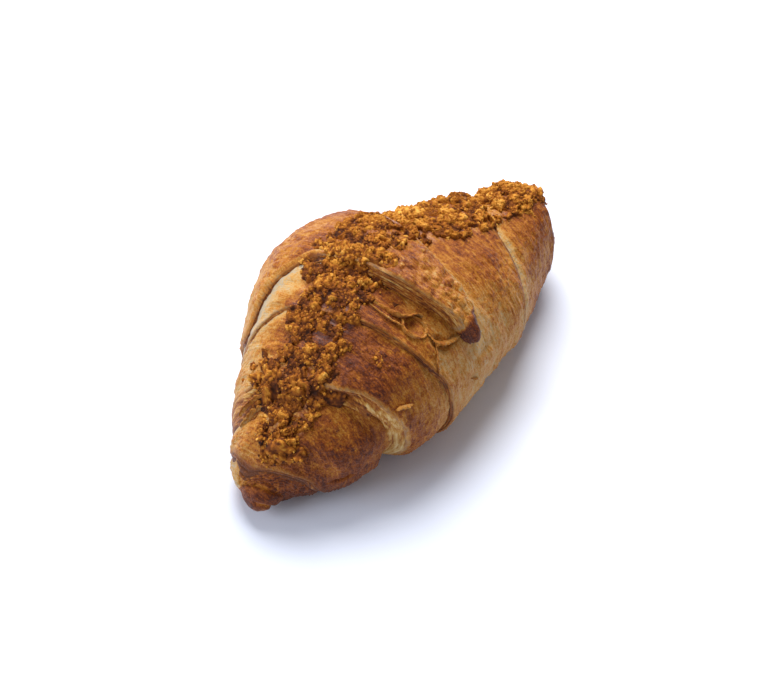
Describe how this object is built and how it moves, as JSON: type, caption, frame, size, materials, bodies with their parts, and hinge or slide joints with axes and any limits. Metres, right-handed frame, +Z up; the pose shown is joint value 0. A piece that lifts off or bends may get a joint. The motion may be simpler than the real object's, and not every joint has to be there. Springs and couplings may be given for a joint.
{
  "type": "croissant",
  "caption": "baked butter croissant with overlapping turns of laminated dough, a hanging tongue in front and a band of spiced crumble along its back",
  "frame": {"origin": "centre of the bounding box in X and Y, on the flat foot it rests on", "axes": "+X runs along the roll, from the thicker half with the twisted tip towards the slimmer half; +Z is up, through the crumble band; the front with the hanging tongue is -Y"},
  "size_m": [0.1452, 0.0814, 0.0608],
  "materials": {
    "baked_crust": "browned, egg-washed flaky pastry"
  },
  "bodies": {
    "root": {"croissant": "baked_crust"}
  },
  "joints": []
}
